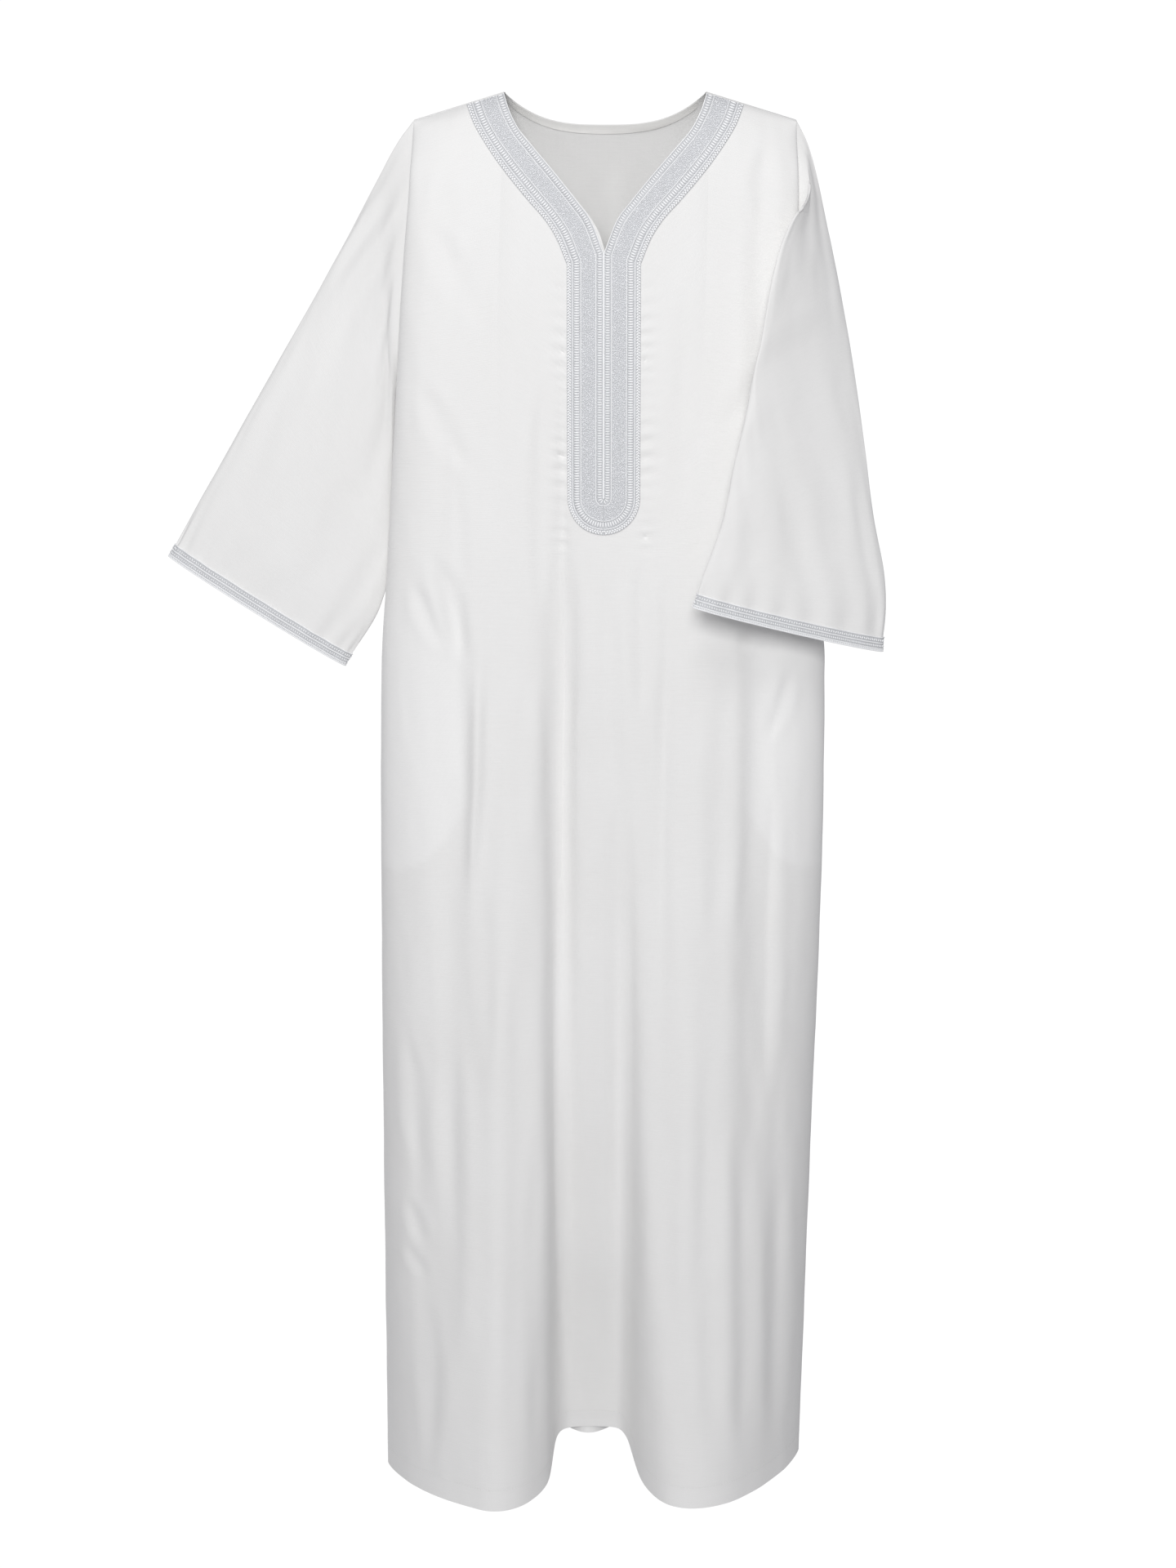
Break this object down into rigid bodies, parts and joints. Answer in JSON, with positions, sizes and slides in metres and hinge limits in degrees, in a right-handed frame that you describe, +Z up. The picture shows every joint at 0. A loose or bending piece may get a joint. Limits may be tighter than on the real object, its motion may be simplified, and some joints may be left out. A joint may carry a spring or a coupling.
{
  "type": "thobe robe",
  "caption": "Long loose robe worn from the shoulders, with wide sleeves, a V neck and a braided neck band that runs on as a placket.",
  "frame": {"origin": "on the shoulder line, midway between the two neck points and level with them", "axes": "+Z up, the front faces -Y, the wearer's left is +X"},
  "size_m": [0.7259, 0.2436, 1.4451],
  "materials": {
    "cloth": "matt woven cloth",
    "trim": "silver-grey embroidered braid",
    "pocket": "matt lining cloth"
  },
  "bodies": {
    "root": {"front_panel": "cloth", "back_panel": "cloth", "sleeve_right": "cloth", "sleeve_left": "cloth", "neck_trim": "trim", "back_neck_facing": "cloth", "cuff_trim_right": "trim", "cuff_trim_left": "trim", "pocket_bag_right": "pocket", "pocket_bag_left": "pocket"}
  },
  "joints": []
}
